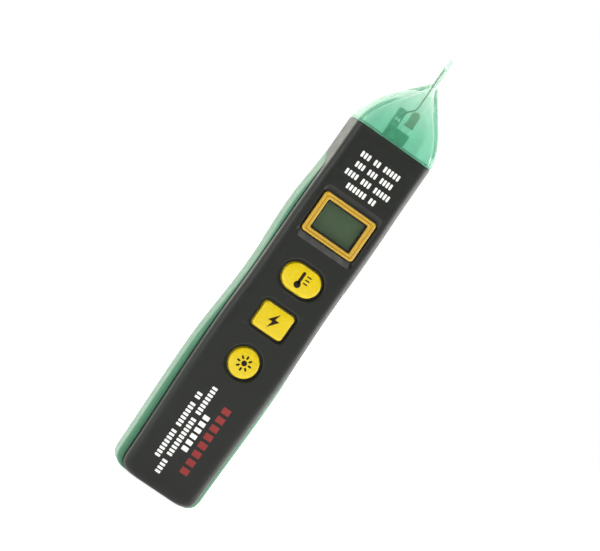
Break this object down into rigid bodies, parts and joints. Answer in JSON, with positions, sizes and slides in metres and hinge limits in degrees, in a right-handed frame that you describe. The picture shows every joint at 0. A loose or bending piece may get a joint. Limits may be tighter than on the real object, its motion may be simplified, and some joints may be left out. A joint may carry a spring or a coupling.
{
  "type": "non contact voltage tester",
  "caption": "Pen-shaped non contact voltage tester with a translucent green nose and thin probe tip, small display, yellow keys and an infrared thermometer in its tail.",
  "frame": {"origin": "centre of the flat tail face, on the line where left and right halves meet", "axes": "+Z along the body towards the probe tip, -Y out of the face with the display and keys, +X to the right seen from that face"},
  "size_m": [0.035, 0.0236, 0.1778],
  "materials": {
    "black_shell": "fine satin moulding",
    "green_shell": "soft satin, slightly rubbery",
    "clear_green": "tinted translucent, polished",
    "amber_frame": "semi gloss",
    "clear_window": "polished acrylic",
    "lcd_glass": "grey-green reflective display",
    "light_guide": "milky light guide",
    "pink_elastomer": "matt silicone",
    "yellow_key": "satin moulded",
    "black_part": "matt moulded",
    "board": "solder mask",
    "led_body": "tinted epoxy",
    "tinned_metal": "tinned",
    "copper_wire": "enamelled copper",
    "green_block": "matt moulded",
    "ceramic": "sintered",
    "dark_lens": "infrared filter",
    "spring_steel": "nickel plated",
    "cell_jacket": "printed sleeve",
    "screw_steel": "zinc plated"
  },
  "bodies": {
    "housing": {"front_shell": "black_shell", "rear_shell": "green_shell", "nose_cap": "clear_green", "lcd_frame": "amber_frame", "lcd_window": "clear_window", "lcd_panel": "lcd_glass", "backlight_panel": "light_guide", "zebra_strips": "pink_elastomer", "switch_housings": "black_part", "circuit_board": "board", "nose_led": "led_body", "led_leads": "tinned_metal", "led_holder": "green_block", "antenna_wire": "copper_wire", "buzzer": "black_part", "controller_chip": "black_part", "clock_crystal": "tinned_metal", "board_resistors": "black_part", "board_capacitors": "ceramic", "ir_tube": "black_part", "ir_lens": "dark_lens", "ir_sensor": "tinned_metal", "sensor_leads": "tinned_metal", "battery_left": "cell_jacket", "battery_right": "cell_jacket", "battery_springs": "spring_steel", "link_contact": "spring_steel", "positive_contact": "spring_steel", "negative_contact": "spring_steel", "case_screws": "screw_steel"},
    "thermometer_key": {"thermometer_key": "yellow_key"},
    "voltage_key": {"voltage_key": "yellow_key"},
    "light_key": {"light_key": "yellow_key"},
    "thermometer_plunger": {"thermometer_plunger": "black_part"},
    "voltage_plunger": {"voltage_plunger": "black_part"},
    "light_plunger": {"light_plunger": "black_part"},
    "battery_cover": {"battery_cover": "green_shell"}
  },
  "joints": [
    {"name": "thermometer_key_press", "type": "slide", "parent": "housing", "child": "thermometer_key", "axis": [0, 1, 0], "range_m": [0, 0.0006]},
    {"name": "voltage_key_press", "type": "slide", "parent": "housing", "child": "voltage_key", "axis": [0, 1, 0], "range_m": [0, 0.0006]},
    {"name": "light_key_press", "type": "slide", "parent": "housing", "child": "light_key", "axis": [0, 1, 0], "range_m": [0, 0.0006]},
    {"name": "thermometer_plunger_stroke", "type": "slide", "parent": "housing", "child": "thermometer_plunger", "axis": [0, 1, 0], "range_m": [0, 0.0006]},
    {"name": "voltage_plunger_stroke", "type": "slide", "parent": "housing", "child": "voltage_plunger", "axis": [0, 1, 0], "range_m": [0, 0.0006]},
    {"name": "light_plunger_stroke", "type": "slide", "parent": "housing", "child": "light_plunger", "axis": [0, 1, 0], "range_m": [0, 0.0006]},
    {"name": "battery_cover_hinge", "type": "hinge", "parent": "housing", "child": "battery_cover", "pos_m": [0, 0.0115, 0.06435], "axis": [1, 0, 0], "range_deg": [0, 75]}
  ],
  "couplings": [
    {"joint": "thermometer_plunger_stroke", "follows": "thermometer_key_press", "ratio": 1},
    {"joint": "voltage_plunger_stroke", "follows": "voltage_key_press", "ratio": 1},
    {"joint": "light_plunger_stroke", "follows": "light_key_press", "ratio": 1}
  ]
}
